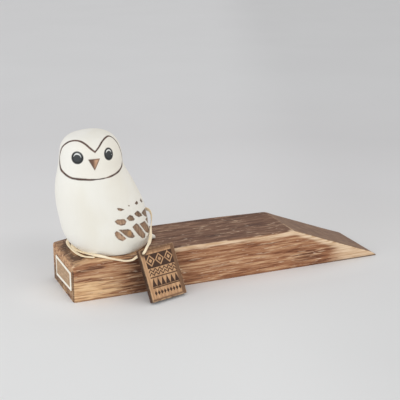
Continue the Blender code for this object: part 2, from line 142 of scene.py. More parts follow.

# Face: degrees from its middle and heights above the wedge, from the notch round by the owl's left eye
FACE_TURN = -100.0
FACE_OUTLINE = (
    (3.5, 0.0885), (12.5, 0.0920), (24.5, 0.0957), (42.0, 0.0976), (58.0, 0.0976), (66.0, 0.0957),
    (69.0, 0.0925), (71.5, 0.0879), (74.0, 0.0821), (76.5, 0.0765), (68.0, 0.0727), (52.4, 0.0698),
    (35.5, 0.0678), (20.7, 0.0666), (7.0, 0.0662), (-5.9, 0.0661), (-15.4, 0.0664), (-28.8, 0.0667),
    (-42.0, 0.0674), (-60.5, 0.0704), (-71.0, 0.0726), (-80.1, 0.0772), (-83.0, 0.0827), (-77.6, 0.0882),
    (-68.8, 0.0925), (-59.0, 0.0951), (-45.8, 0.0963), (-31.3, 0.0963), (-17.3, 0.0948), (-6.0, 0.0917),
    (3.5, 0.0885),
)
FACE_HEIGHTS = (0.0620, 0.0995)  # of the rings near it
FACE_LINE_HALF = 0.00077
FACE_LINE_WEIGHTS = (  # share of the way round, share of its width
    (0.00, 0.90), (0.10, 1.05), (0.20, 1.1), (0.30, 1.3), (0.41, 0.95), (0.47, 0.60), (0.53, 1.10),
    (0.63, 1.1), (0.72, 1.7), (0.80, 1.1), (0.90, 1.2), (0.97, 1.0), (1.00, 0.90),
)
EYES = ((-30.7, 0.0839, 0.0053), (30.7, 0.0856, 0.00445))  # with half their widths
EYE_HALF_HEIGHT = 0.0052
EYE_DEPTH = 0.0060  # of the skin behind an eye's plane
GLINT = (0.61, 0.14, 5.0, 165.0)  # radius and thickness in an eye's half sizes, start and sweep in degrees
BEAK_CORNERS = ((-10.1, 0.0828), (11.2, 0.0831), (1.8, 0.0736))
BEAK_RISE = 0.0013

# Wing feathers, alike on both sides: paleness of the wood, then corners, degrees from the tail and heights
FEATHERS = (
    (0.9, ((80.0, 0.0408), (75.0, 0.0402), (70.5, 0.0386), (76.0, 0.0379), (79.0, 0.0391))),
    (0.5, ((62.5, 0.0412), (59.5, 0.0408), (61.0, 0.0400))),
    (0.0, ((42.0, 0.0420), (40.0, 0.0397), (46.0, 0.0393), (48.5, 0.0409))),
    (0.0, ((25.0, 0.0415), (23.0, 0.0381), (30.5, 0.0388), (32.5, 0.0410))),
    (0.75, (
        (88.0, 0.0299), (84.0, 0.0313), (74.0, 0.0306), (72.0, 0.0281),
        (75.0, 0.0258), (81.0, 0.0257), (85.5, 0.0274),
    )),
    (0.25, ((70.5, 0.0309), (64.5, 0.0328), (60.0, 0.0313), (57.5, 0.0282), (60.5, 0.0273), (67.5, 0.0281))),
    (0.25, ((56.0, 0.0329), (48.5, 0.0342), (44.5, 0.0326), (39.0, 0.0283), (48.0, 0.0285), (54.0, 0.0308))),
    (0.15, (
        (39.8, 0.0308), (34.0, 0.0318), (26.0, 0.0319), (6.0, 0.0312),
        (6.0, 0.0235), (25.0, 0.0246), (35.0, 0.0276),
    )),
    (0.9, (
        (91.0, 0.0204), (88.5, 0.0216), (85.5, 0.0205), (78.0, 0.0138),
        (84.0, 0.0122), (89.5, 0.0145), (91.5, 0.0179),
    )),
    (0.5, (
        (85.5, 0.0225), (80.0, 0.0219), (73.0, 0.0215), (68.5, 0.0201), (66.0, 0.0176), (64.5, 0.0137),
        (68.5, 0.0131), (74.0, 0.0142), (78.0, 0.0166),
    )),
    (0.5, (
        (65.0, 0.0224), (57.5, 0.0244), (53.5, 0.0229), (42.5, 0.0121),
        (46.5, 0.0096), (51.5, 0.0097), (58.0, 0.0144),
    )),
    (0.5, ((51.0, 0.0230), (36.5, 0.0228), (22.0, 0.0150), (26.0, 0.0124), (33.0, 0.0113), (39.5, 0.0138))),
    (0.3, ((32.0, 0.0236), (14.0, 0.0240), (4.0, 0.0140), (14.0, 0.0130))),
)
FEATHER_DEPTH = 0.0006
RIM_REACH = (0.0011, 0.0003)  # of dark rims, and of their full strength
GOLDEN_SPOT = (70.0, 0.0180)

# Label
LABEL_TRIM = 0.0024  # off its lower edge, at the near end
LABEL_BORDER = (0.0026, 0.0020, 0.0027)  # beside, above and below its bare middle
LABEL_EDGE = 0.0003
LABEL_CELL = 0.0004

# Tag
TAG_LEAN = math.radians(26.0)
TAG_WIDTH = 0.0350
TAG_HEIGHT = 0.0440
TAG_THICK = 0.0050
TAG_EDGE = 0.0007
TAG_CELL = 0.00028
TAG_HOLE_RADIUS = 0.0015
TAG_HOLE_INSET = 0.0032
ENGRAVED_DEPTH = 0.0003
ENGRAVED_HALF = 0.0138  # of the pattern's width
ENGRAVED_CELLS = 3
LOZENGES = (0.0116, 0.0052)  # middle above the tag's, and half height
SMALL_LOZENGES = (-0.0153, 0.0024)
ZIGZAGS = (0.0006, 0.0034)
ZIGZAG_RISE = 0.0013
TRIANGLES = (-0.0100, 0.0072)  # their foot and their height
RULES = (0.0058, -0.0022, -0.0108)

# Cord: the route of the solids, in millimetres from the wedge's end, its middle plane and the floor
CORD_DIAMETER = 0.0018
CORD_WIDTHS = (0.0029, 0.0028, 0.0021, 0.0031, 0.0017)  # tail, wrap, loop, return and its part in front
CORD_THICK = 0.0010
CORD_STEP = 0.0007
CORD_SIDES = 14
FLAT_PULL = 0.16  # how fast it turns flat on what it lies on
ROUTE_UNITS = 1000  # in a metre
UP = np.array((0.0, 0.0, 1.0))
TAIL_ROUTE = (
    (19.5, -27.6, 36.5), (16.4, -24.6, 36.1), (12.4, -18.4, 35.4), (10.0, -8.6, 35.0), (9.1, 2.6, 34.9),
    (9.1, 13.4, 34.9), (10.5, 21.8, 35.3), (13.8, 25.6, 36.4),
)
KNOT_PLACE = (18.3, 26.4, 37.6)
KNOT_SIZE = 0.00075
WRAP_ROUTE = (
    (25.6, 27.6, 39.2), (34.4, 30.6, 42.6), (44.0, 31.3, 46.3), (53.4, 29.8, 50.0), (61.6, 25.9, 53.3),
    (68.8, 19.3, 56.6), (74.4, 11.6, 59.6), (78.0, 3.6, 61.0), (78.9, -1.4, 57.8), (77.2, -6.2, 53.0),
    (74.7, -11.8, 49.5), (72.5, -17.1, 46.1), (69.6, -23.8, 44.5), (66.4, -30.2, 43.7),
)
LOOP_ROUTE = (  # from the tag's hole: across the tag, into it and up it
    (7.9, -1.0, 5.9), (4.6, -3.9, 4.6), (2.2, -5.1, 2.9), (0.7, -4.4, 1.2), (0.1, -2.2, 0.1), (0.0, 1.4, 0.0),
    (-0.6, 4.4, -0.4), (-2.4, 7.2, -1.6),
)
RETURN_ROUTE = (
    (49.6, -33.0, 31.4), (44.4, -31.8, 31.2), (38.0, -31.6, 33.1), (31.6, -31.4, 35.2), (26.4, -29.6, 36.8),
    (21.4, -23.4, 36.7), (16.9, -15.8, 36.2), (13.4, -7.6, 35.6), (11.6, 0.4, 35.3), (11.6, 8.4, 35.3),
    (13.6, 16.4, 35.8), (17.0, 21.6, 36.6),
)
BLEND_BEHIND = (0.0065, 0.0010)  # depths behind the tag's middle; points at them are worked out and not used

# Camera of the photograph
CAMERA_PLACE = (-0.3382, -0.7602, 0.3236)
CAMERA_TURN = math.radians(-22.84)
CAMERA_DIP = math.radians(17.41)
CAMERA_LENS = 88.9

# Floor, with painted light and shade: its shades away from the camera, from a line in front of the wedge
FLOOR_SIZE = 6.0
FLOOR_NEAR = 0.12
FLOOR_SHADES = (
    (0.02, (236, 236, 236)), (0.14, (236, 235, 235)), (0.26, (229, 228, 228)), (0.37, (227, 226, 227)),
    (0.60, (221, 220, 221)), (0.97, (223, 223, 224)),
)
FLOOR_ASIDE = (0.17, 0.085)  # painted shade: how far to the right it darkens, and by how much
FLOOR_SHADOW = ((-0.137, 0.100), (0.080, 0.088), 0.10)  # a painted shadow: its middle, its reach and its depth
FLOOR_LIGHTS = (  # the same of lighter patches, which are painted pools of light
    ((-0.120, -0.022), (0.080, 0.058), 0.75), ((-0.165, 0.004), (0.035, 0.035), 0.28),
    ((0.045, -0.036), (0.120, 0.040), 0.48),
)

# Lights: name, place, size, power and colour
LIGHTS = (
    ("key", (-1.95, -1.1, 0.42), 1.6, 19.0, (0.88, 0.95, 1.0)),
    ("fill", (1.2, -1.5, 0.28), 1.4, 8.5, (1.0, 0.98, 0.95)),
)
LIGHTS_AIM = Vector((0.0, 0.0, 0.05))
SKY_STRENGTH = 0.76


def spline(knots, steps):
    """Points on the smooth curve through the knots."""
    knots = np.asarray(knots, float)
    slope = np.gradient(knots, axis=0)
    t = np.arange(steps)[:, None] / steps
    leave, arrive = t**3 - 2 * t**2 + t, t**3 - t**2
    far = 3 * t**2 - 2 * t**3
    spans = [
        knots[at] * (1 - far) + slope[at] * leave + knots[at + 1] * far + slope[at + 1] * arrive
        for at in range(len(knots) - 1)
    ]
    return np.vstack(spans + [knots[-1:]])


def evenly(points, count, measured=None):
    """The same line, with points at even steps of its first measured columns."""
    steps = np.linalg.norm(np.diff(points[:, :measured], axis=0), axis=1)
    travelled = np.concatenate([[0.0], np.cumsum(steps)])
    wanted = np.linspace(0.0, travelled[-1], count)
    return np.stack([np.interp(wanted, travelled, column) for column in points.T], axis=1)


def smooth(start, end, value):
    """0 before start, 1 after end."""
    t = np.clip((value - start) / (end - start), 0.0, 1.0)
    return t * t * (3 - 2 * t)


def strongest(*masks):
    return np.maximum.reduce(masks)


def unit(vectors):
    return vectors / np.maximum(np.linalg.norm(vectors, axis=-1, keepdims=True), 1e-12)


def degrees_past(turn, degrees):
    """Degrees past a direction, from -180 to 180."""
    return (degrees - turn + 180.0) % 360.0 - 180.0


def field(points, size, seed=0.0):
    """Soft noise at points, in about -1 to 1, with waves of that size."""
    flat = points.reshape(-1, 3) / size + seed
    return np.array([noise.noise(Vector(point)) for point in flat]).reshape(points.shape[:-1])


def new_object(name, data, finish=None):
    item = bpy.data.objects.new(name, data)
    bpy.context.scene.collection.objects.link(item)
    if finish:
        data.materials.append(finish)
    return item


def set_values(mesh, **values):
    """Values of points, which the materials read."""
    for name, array in values.items():
        made = mesh.attributes.new(name, "FLOAT", "POINT")
        made.data.foreach_set("value", np.ascontiguousarray(array, np.float32).ravel())


def vectors_of(mesh):
    """A mesh's points, and then its normals at them."""
    for items, name in ((mesh.vertices, "co"), (mesh.vertex_normals, "vector")):
        flat = np.empty(len(items) * 3, np.float32)
        items.foreach_get(name, flat)
        yield flat.reshape(-1, 3).astype(float)


def mesh_from(bm, name):
    mesh = bpy.data.meshes.new(name)
    bm.to_mesh(mesh)
    bm.free()
    return mesh


def loft(name, rings, joined=False):
    """Skin over rings of points, closed at its ends or joined to a loop."""
    index = np.arange(rings[..., 0].size).reshape(rings.shape[:2])
    rows = np.vstack([index, index[:1]]) if joined else index
    beside = np.roll(rows, -1, 1)
    faces = np.stack([rows[:-1], beside[:-1], beside[1:], rows[1:]], axis=-1).reshape(-1, 4).tolist()
    if not joined:
        faces += [index[0, ::-1].tolist(), index[-1].tolist()]
    mesh = bpy.data.meshes.new(name)
    mesh.from_pydata(rings.reshape(-1, 3), [], faces)
    mesh.shade_smooth()
    return mesh


def cut(item, tools):
    """Takes the tools out of a piece for good."""
    for tool in tools:
        step = item.modifiers.new("cut", "BOOLEAN")
        step.operation = "DIFFERENCE"
        step.solver = "EXACT"
        step.object = tool
    graph = bpy.context.evaluated_depsgraph_get()
    solid = bpy.data.meshes.new_from_object(item.evaluated_get(graph))
    item.modifiers.clear()
    item.data = solid
    for tool in tools:
        bpy.data.objects.remove(tool)


def cylinder(place, radius, length):
    bm = bmesh.new()
    bmesh.ops.create_cone(
        bm, cap_ends=True, segments=40, radius1=radius, radius2=radius, depth=length, matrix=place
    )
    return new_object("cutter", mesh_from(bm, "cutter"))


class Finish:
    """A material that is worked out in nodes."""

    def __init__(self, name, specular=0.5, metallic=0.0):
        self.material = bpy.data.materials.new(name)
        self.material.use_nodes = True
        self.tree = self.material.node_tree
        self.shader = self.tree.nodes["Principled BSDF"]
        self.feed(self.shader, {"Specular IOR Level": specular, "Metallic": metallic})
        self.place = self.node("TexCoord").outputs["Object"]

    def feed(self, node, inputs):
        """Gives a node's sockets their links or values."""
        for socket, value in inputs.items():
            if isinstance(value, bpy.types.NodeSocket):
                self.tree.links.new(value, node.inputs[socket])
            else:
                node.inputs[socket].default_value = value

    def node(self, kind, *inputs, named=None, **settings):
        made = self.tree.nodes.new("ShaderNode" + kind)
        for name, value in settings.items():
            setattr(made, name, value)
        self.feed(made, named or dict(enumerate(inputs)))
        return made

    def value(self, name):
        return self.node("Attribute", attribute_name=name).outputs["Fac"]

    def times(self, first, second):
        return self.node("Math", first, second, operation="MULTIPLY").outputs[0]

    def plus(self, first, second):
        return self.node("Math", first, second, operation="ADD").outputs[0]

    def along(self, direction):
        """How far the place is along a direction."""
        return self.node("VectorMath", self.place, direction, operation="DOT_PRODUCT").outputs["Value"]

    def mapped(self, scale, place=None, shift=(0.0, 0.0, 0.0)):
        """A place, scaled and then shifted."""
        inputs = {"Vector": place or self.place, "Location": shift, "Scale": scale}
        return self.node("Mapping", named=inputs).outputs[0]

    def patch(self, middle, reach, most):
        """The most at the middle of an oval on the floor, and nothing outside it."""
        scale = [1 / size for size in reach] + [0.0]
        shift = [-at / size for at, size in zip(middle, reach)] + [0.0]
        away = self.node("VectorMath", self.mapped(scale, shift=shift), operation="LENGTH")
        return self.span(away.outputs["Value"], 0.0, 1.0, most, 0.0)

    def noise(self, stretch, detail=4.0, roughness=0.55, place=None):
        place = self.mapped(stretch, place)
        inputs = {"Vector": place, "Scale": 1.0, "Detail": detail, "Roughness": roughness}
        return self.node("TexNoise", named=inputs).outputs["Fac"]

    def span(self, value, low, high, start=0.0, end=1.0):
        """Runs smoothly from start to end while the value goes from low to high."""
        made = self.node("MapRange", value, low, high, start, end, interpolation_type="SMOOTHSTEP")
        return made.outputs[0]

    def broken(self, name, grain, most, low, high, start):
        """Mask from a value of the mesh, with edges that a noise breaks up."""
        value = self.value(name)
        swayed = self.plus(value, self.times(self.plus(grain, -0.5), most))
        return self.times(self.span(swayed, low, high), self.span(value, 0.0, start))

    def ramp(self, value, *stops):
        """Colours at rising places along a value."""
        made = self.node("ValToRGB", value)
        elements = made.color_ramp.elements
        while len(elements) < len(stops):
            elements.new(1.0)
        for element, (position, colour) in zip(elements, stops):
            element.position = position
            element.color = srgb(*colour)
        return made.outputs[0]

    def mix(self, share, first, second):
        return self.node("Mix", named={0: share, 6: first, 7: second}, data_type="RGBA").outputs[2]

    def layers(self, colour, *pairs):
        """A colour under layers, each given by its share and its colour."""
        for share, layer in pairs:
            colour = self.mix(share, colour, layer)
        return colour

    def paint(self, colour, roughness, height=None, depth=0.0):
        inputs = {"Base Color": colour, "Roughness": roughness}
        if height is not None:
            bump = self.node("Bump", named={"Strength": 1.0, "Distance": depth, "Height": height})
            inputs["Normal"] = bump.outputs[0]
        self.feed(self.shader, inputs)
        return self.material


def bare_wood(f):
    """Wood in the feathers, dark or pale, with golden spots."""
    grain = f.noise((700.0, 700.0, 110.0), 3.0)
    stripes = f.span(grain, 0.35, 0.65)
    dark = f.mix(stripes, srgb(98, 78, 62), srgb(136, 110, 86))
    pale = f.mix(stripes, srgb(160, 124, 96), srgb(196, 162, 134))
    wood = f.mix(f.value("paleness"), dark, pale)
    golden = f.times(f.value("golden"), f.span(grain, 0.30, 0.60))
    return f.mix(golden, wood, srgb(186, 144, 100))


def paint_finish():
    """White paint with burnt lines, black eyes, and bare wood in the feathers and the beak."""
    f = Finish("owl_paint", 0.35)
    patches = f.noise((26.0, 26.0, 16.0), 3.0)
    brush = f.noise((420.0, 420.0, 40.0))
    scratch = f.noise((260.0, 260.0, 700.0), 4.0, 0.65)
    char = f.noise((300.0, 300.0, 300.0), 3.0)
    # browner paint along the foot's lowest edge, towards the front right
    scuffed = f.broken("scuff", scratch, 1.8, 0.45, 1.0, 0.2)
    # feather rims: darker wood at the edges, with painted shade inside the carved cuts
    rim = f.times(f.value("rim"), f.span(char, 0.36, 0.60))
    beak = f.mix(f.value("beak_light"), srgb(112, 83, 66), srgb(202, 160, 129))
    burnt = f.mix(f.span(char, 0.35, 0.7), srgb(64, 40, 32), srgb(110, 80, 66))
    colour = f.layers(
        f.mix(f.span(patches, 0.35, 0.65), srgb(236, 231, 218), srgb(241, 238, 229)),
        (f.times(f.value("face"), 0.6), srgb(242, 236, 223)),
        # painted light: the breast, on the side the key light falls on, is painted lighter
        (f.times(f.value("breast"), 0.5), srgb(246, 243, 237)),
        (f.times(scuffed, 0.75), srgb(160, 136, 116)),
        (f.value("wood"), bare_wood(f)),
        (rim, srgb(88, 64, 50)),
        (f.value("beak"), beak),
        (f.times(f.value("beak_rim"), 0.8), srgb(84, 62, 50)),
        (f.value("line"), burnt),
        (f.value("ink"), srgb(27, 27, 27)),
        (f.value("pupil"), srgb(43, 46, 47)),
        (f.value("glint"), srgb(240, 240, 236)),
    )
    roughness = f.span(f.value("ink"), 0.0, 1.0, 0.5, 0.3)
    return f.paint(colour, roughness, brush, 0.00008)


def owl_rows(count):
    rows = np.array(OWL_PROFILE)
    rows[:, 3] *= OWL_HALF_WIDTH / 100
    return evenly(spline(rows, 24), count)


OWL_FINE = owl_rows(600)


def owl_skin(angle, height, breast, back, half_width):
    x = OWL_X + (back - breast) / 2 + (back + breast) / 2 * np.cos(angle)
    return np.stack(np.broadcast_arrays(x, half_width * np.sin(angle), OWL_BASE + height), axis=-1)


def owl_point(degrees, height):
    reaches = [np.interp(height, OWL_FINE[:, 0], OWL_FINE[:, column]) for column in (1, 2, 3)]
    return owl_skin(np.radians(degrees), np.asarray(height), *reaches)


def across(points, degrees, height):
    """Places of points on a plane that touches the owl: level along it, up it and out of it."""
    along = owl_point(degrees + 1.0, height) - owl_point(degrees - 1.0, height)
    up = owl_point(degrees, height + 0.0005) - owl_point(degrees, height - 0.0005)
    out = unit(np.cross(along, up))
    along = unit(along)
    up = np.cross(out, along)
    offset = points - owl_point(degrees, height)
    return offset @ along, offset @ up, offset @ out


def add_tail(points):
    """Draws the skin out over the tail's blunt point."""
    x, y, z = np.moveaxis(points, -1, 0)
    behind, aside, above = TAIL_NEAR
    near = (x > OWL_X + behind) & (abs(y) < aside) & (z < OWL_BASE + above)
    share = np.linspace(0.0, 1.0, 240)
    line_x = OWL_X + TAIL_REACH - TAIL_LENGTH * (1 - share)
    line_z = OWL_BASE + np.interp(share, (0, 1), TAIL_HEIGHTS)
    radius = np.interp(share, (0, 1), TAIL_RADII)
    away = np.hypot(y[near][:, None], z[near][:, None] - line_z)
    reach = np.where(away <= radius, line_x, -1.0).max(axis=1)
    x[near] = np.maximum(x[near], reach)


def face_values(points, heights):
    """How far each point is from the burnt line, in its half widths, and whether it is inside it."""
    outline = np.array(FACE_OUTLINE)
    curve = evenly(spline(owl_point(FACE_TURN + outline[:, 0], outline[:, 1]), 12), 260)
    half = FACE_LINE_HALF * np.interp(np.linspace(0.0, 1.0, len(curve)), *np.array(FACE_LINE_WEIGHTS).T)
    far = 9.0
    distance = np.full(points.shape[:2], far)
    inside = np.zeros(points.shape[:2])
    degrees, levels = spline(outline, 6).T
    around = degrees_past(FACE_TURN, np.linspace(-180.0, 180.0, OWL_SIDES, endpoint=False))
    lowest, highest = FACE_HEIGHTS
    for ring in np.flatnonzero((heights > lowest) & (heights < highest)):
        gaps = np.sqrt(((points[ring][:, None, :] - curve[None]) ** 2).sum(-1))
        distance[ring] = (gaps / half).min(axis=1)
        crossing = np.flatnonzero(np.diff(levels > heights[ring]))
        share = (heights[ring] - levels[crossing]) / np.diff(levels)[crossing]
        places = degrees[crossing] + share * np.diff(degrees)[crossing]
        inside[ring] = (around[:, None] < places[None]).sum(axis=1) % 2
    return distance, inside


def within(points, corners):
    """How far each point lies inside an outline drawn on the owl, and how far aside of its middle."""
    corners = np.array(corners)
    degrees, height = corners.mean(axis=0)
    near = np.linalg.norm(points - owl_point(degrees, height), axis=-1) < 0.02
    u, v, _ = across(points[near], degrees, height)
    corner_u, corner_v, _ = across(owl_point(*corners.T), degrees, height)
    gap = np.full(u.shape, 1.0)
    inside = np.zeros(u.shape, bool)
    for au, av, bu, bv in zip(corner_u, corner_v, np.roll(corner_u, 1), np.roll(corner_v, 1)):
        run, rise = bu - au, bv - av
        share = np.clip(((u - au) * run + (v - av) * rise) / (run**2 + rise**2), 0.0, 1.0)
        gap = np.minimum(gap, np.hypot(u - au - share * run, v - av - share * rise))
        inside ^= ((av > v) != (bv > v)) & (u < au + (v - av) * run / (rise or 1.0))
    depth = np.full(points.shape[:-1], -1.0)
    depth[near] = np.where(inside, gap, -gap)
    aside = np.zeros(points.shape[:-1])
    aside[near] = u
    return depth, aside


def eye_values(points):
    """Black of the eyes, their dark grey middles, and the light arc in each."""
    ink, pupil, glint = (np.zeros(points.shape[:2]) for _ in range(3))
    arc_size, arc_thick, arc_start, arc_sweep = GLINT
    for degrees, height, half_width in EYES:
        u, v, depth = across(points, FACE_TURN + degrees, height)
        u, v = u / half_width, v / EYE_HALF_HEIGHT
        near = depth > -EYE_DEPTH
        size = np.hypot(u, v)
        turn = np.degrees(np.arctan2(v, u))
        ink = np.maximum(ink, near * smooth(1.05, 0.95, size))
        pupil = np.maximum(pupil, near * smooth(0.82, 0.70, size))
        along_arc = np.clip((turn - arc_start) * 180.0 / arc_sweep, 0.0, 180.0)
        thickness = arc_thick * np.sin(np.radians(along_arc))
        from_arc = abs(size - arc_size) / np.maximum(thickness, 0.001)
        glint = np.maximum(glint, near * smooth(1.0, 0.5, from_arc))
    return ink, pupil, glint


def feather_values(points):
    """Bare wood of both wings' feathers, its dark rim (darker wood at the edge, with painted shade inside the
    cut), its paleness and golden spots.
    """
    wood, rim, paleness, golden = (np.zeros(points.shape[:2]) for _ in range(4))
    ragged = 0.00018 * field(points, 0.0024)
    for side in (-1, 1):
        spot = owl_point(side * GOLDEN_SPOT[0], GOLDEN_SPOT[1])
        golden = np.maximum(golden, smooth(0.0034, 0.0012, np.linalg.norm(points - spot, axis=-1)))
        for pale, corners in FEATHERS:
            depth, _ = within(points, [(side * degrees, height) for degrees, height in corners])
            bare = smooth(-0.00022, 0.00022, depth + ragged)
            wood = np.maximum(wood, bare)
            # rim: darker wood at the edge, with painted shade inside the cut
            rim = np.maximum(rim, bare * smooth(*RIM_REACH, depth))
            paleness = np.where(depth > -0.0008, pale, paleness)
    return wood, rim, paleness, golden


def make_owl():
    rows = owl_rows(OWL_RINGS)
    angles = np.linspace(-math.pi, math.pi, OWL_SIDES, endpoint=False)
    points = owl_skin(angles, *rows.T[..., None])
    add_tail(points)
    out = unit(np.cross(np.roll(points, -1, 1) - np.roll(points, 1, 1), np.gradient(points, axis=0)))
    distance, face = face_values(points, rows[:, 0])
    line = smooth(1.3, 0.7, distance + 0.3 * field(points, 0.006, 5.0))
    ink, pupil, glint = eye_values(points)
    wood, rim, paleness, golden = feather_values(points)
    inner, aside = within(points, [(FACE_TURN + degrees, height) for degrees, height in BEAK_CORNERS])
    beak = smooth(-0.00025, 0.00025, inner)
    # painted light: marks the breast, on the side the key light falls on, for lighter paint
    breast = smooth(-0.40, -0.95, np.cos(angles))[None] + np.zeros(points.shape[:2])
    # browner paint along the foot's lowest edge, round the front right
    beside_scuff = abs(degrees_past(SCUFF_TURN, np.degrees(angles)))[None]
    scuff = 0.7 * smooth(0.0018, 0.0002, rows[:, 0, None]) * smooth(60.0, 20.0, beside_scuff)
    rise = BEAK_RISE * np.clip(inner / 0.0022, 0.0, 1.0) + 0.00012 * field(points, 0.009, 3.0)
    rise -= 0.00025 * line + FEATHER_DEPTH * wood + 0.00012 * ink * (1 - pupil)
    rise[:2] = 0.0
    mesh = loft("owl", points + out * rise[..., None])
    set_values(
        mesh, line=line, face=face, ink=ink, pupil=pupil, glint=glint, scuff=scuff, breast=breast, wood=wood,
        rim=rim, paleness=paleness, golden=golden, beak=beak, beak_rim=beak * smooth(*RIM_REACH, inner),
        beak_light=smooth(-0.0014, 0.0012, aside),
    )
    owl = new_object("carved_owl", mesh, paint_finish())
    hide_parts("owl_figure")
    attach(owl, "doorstop")


def wedge_finish():
    """Brushed wood, burnt brown on top and golden at the sides, with pale rubbed edges; painted highlights on
    the ridge and a near corner, painted shade along its foot and behind the tag, and painted light round the
    owl's foot.
    """
    f = Finish("wedge_wood", 0.2)
    fine = f.noise((44.0, 280.0, 820.0), 4.0, 0.6)
    middle = f.noise((19.0, 120.0, 330.0), 4.0, 0.6)
    broad = f.noise((9.0, 50.0, 100.0), 3.0)
    blotch = f.noise((60.0, 90.0, 90.0), 3.0)
    streak = f.plus(f.times(fine, 0.52), f.times(middle, 0.28))
    streak = f.plus(streak, f.times(broad, 0.20))
    side = f.ramp(
        streak, (0.39, (94, 56, 40)), (0.455, (141, 93, 65)), (0.52, (169, 121, 88)), (0.60, (207, 166, 128))
    )
    top = f.ramp(streak, (0.40, (76, 47, 34)), (0.50, (110, 76, 58)), (0.60, (146, 112, 90)))
    ramp = f.ramp(middle, (0.32, (117, 87, 68)), (0.50, (132, 101, 79)), (0.68, (146, 116, 93)))
    # tan wood, and painted light close round the owl's foot
    tan = f.times(f.value("tan"), f.span(streak, 0.38, 0.54))
    gold = f.times(f.value("gold"), f.span(streak, 0.41, 0.57))
    golden = f.mix(f.span(fine, 0.36, 0.64), srgb(206, 162, 118), srgb(234, 197, 152))
    # darker wood: a burnt edge at the near corner, and darker round the owl's foot, low on the end and beside
    # the label
    burnt = f.broken("scorch", blotch, 1.1, 0.25, 0.85, 0.15)
    # dark wood streaks, and the tag's painted shadow in a band behind it
    streaky = f.broken("streaky", streak, -2.2, 0.30, 0.90, 0.2)
    # pale rubbed wood, with painted highlights along the ridge and on the near top corner
    rubbed = f.broken("rub", streak, 1.3, 0.16, 1.02, 0.25)
    pale = f.mix(f.span(fine, 0.35, 0.62), srgb(210, 174, 137), srgb(235, 208, 177))
    flecks = f.span(f.noise((60.0, 420.0, 900.0), 3.0, 0.6), 0.58, 0.67)
    flecks = f.times(flecks, f.plus(0.55, f.times(f.value("ramp"), -0.5)))
    specks = f.span(f.noise((120.0, 480.0, 760.0), 2.0), 0.66, 0.74)
    specks = f.times(specks, f.plus(0.6, f.times(f.value("ramp"), -0.6)))
    colour = f.layers(
        side,
        (f.value("top"), top),
        (f.value("ramp"), ramp),
        (f.times(tan, 0.9), srgb(208, 166, 126)),
        (gold, golden),
        (f.times(burnt, 0.75), srgb(74, 50, 38)),
        (f.times(streaky, 0.9), srgb(84, 54, 42)),
        (rubbed, pale),
        (flecks, srgb(222, 192, 160)),
        (specks, srgb(232, 208, 182)),
        # painted contact shadow: a dark line along the wedge's foot
        (f.value("foot_line"), srgb(84, 60, 46)),
    )
    return f.paint(colour, f.span(streak, 0.3, 0.7, 0.55, 0.7), streak, 0.0005)


def top_height(x):
    """Height of the wedge's level top and ramp, with a softened ridge."""
    slope = (WEDGE_TOP - POINT_HEIGHT) / (WEDGE_POINT - RIDGE)
    ramp = WEDGE_TOP - (x - RIDGE) * slope
    level = WEDGE_TOP - WORN_DROP * np.clip(1.0 - (x - WEDGE_END) / WORN_LENGTH, 0.0, 1.0)
    ramp = ramp - POINT_THINNING * smooth(WEDGE_POINT - POINT_STRETCH, WEDGE_POINT, x)
    return -RIDGE_SOFTNESS * np.logaddexp(-level / RIDGE_SOFTNESS, -ramp / RIDGE_SOFTNESS)


def half_section(side, height, rounding):
    """From the floor up one side, round its edge and over the top to the middle."""
    bend = min(rounding, 0.3 * height)
    turns = np.linspace(0.0, math.pi / 2, 8)
    rise = np.linspace(0.0, height - bend, 18)[:-1]
    run = np.linspace(side - bend, 0.0, 17)[1:]
    y = np.concatenate([np.full(len(rise), side), side - bend + bend * np.cos(turns), run])
    z = np.concatenate([rise, height - bend + bend * np.sin(turns), np.full(len(run), height)])
    return np.stack([y, z], axis=1)


def wedge_section(x):
    """Outline of the wedge at one place, from the floor up the front, over the top and round it."""
    into_end = np.clip((END_ROUND - (x - WEDGE_END)) / END_ROUND, 0.0, 1.0)
    inset = END_ROUND * (1.0 - math.sqrt(1.0 - into_end**2))
    near_side, height = WEDGE_SIDE - inset, top_height(x) - inset
    far_side = near_side + FAR_SPREAD * smooth(RIDGE, RIDGE - FAR_SPREAD_RUN, x)
    wander = noise.noise(Vector((x / 0.017, -4.0, 0.0))) + noise.noise(Vector((x / 0.005, -9.0, 0.0)))
    far_round = np.interp(smooth(-0.002, 0.012, x - RIDGE), (0, 1), FAR_ROUNDS)
    front = half_section(near_side, height, FRONT_ROUND + FRONT_WANDER * wander) * (-1, 1)
    back = half_section(far_side, height, far_round)
    under = np.linspace(back[0], front[0], 26)[1:-1]
    return np.insert(np.vstack([front, back[-2::-1], under]), 0, x, axis=1)


def make_wedge():
    turns = np.linspace(0.0, math.pi / 2, 7)[:-1]
    stations = np.concatenate([
        WEDGE_END + END_ROUND * (1 - np.cos(turns)),
        np.arange(WEDGE_END + END_ROUND, RIDGE - RIDGE_STRETCH, WEDGE_STEP),
        np.linspace(RIDGE - RIDGE_STRETCH, RIDGE + RIDGE_STRETCH, 17)[:-1],
        np.linspace(RIDGE + RIDGE_STRETCH, WEDGE_POINT, 64),
    ])
    rings = np.array([wedge_section(x) for x in stations])
    wedge = new_object("wedge_block", loft("wedge", rings[:, ::-1]))
    seats = []
    for node in SCREWS:
        low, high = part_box(node)
        middle = Matrix.Translation(((low.x + high.x) / 2, 0.0, 0.0))
        seats.append(cylinder(middle, SEAT_RADIUS, 2 * SEAT_DEPTH))
    cut(wedge, seats)
    mesh = wedge.data
    mesh.materials.append(wedge_finish())
    mesh.shade_smooth()
    mesh.set_sharp_from_angle(angle=math.radians(40))
    wedge_values(mesh)
    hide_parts("wedge_base")
    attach(wedge, "doorstop")


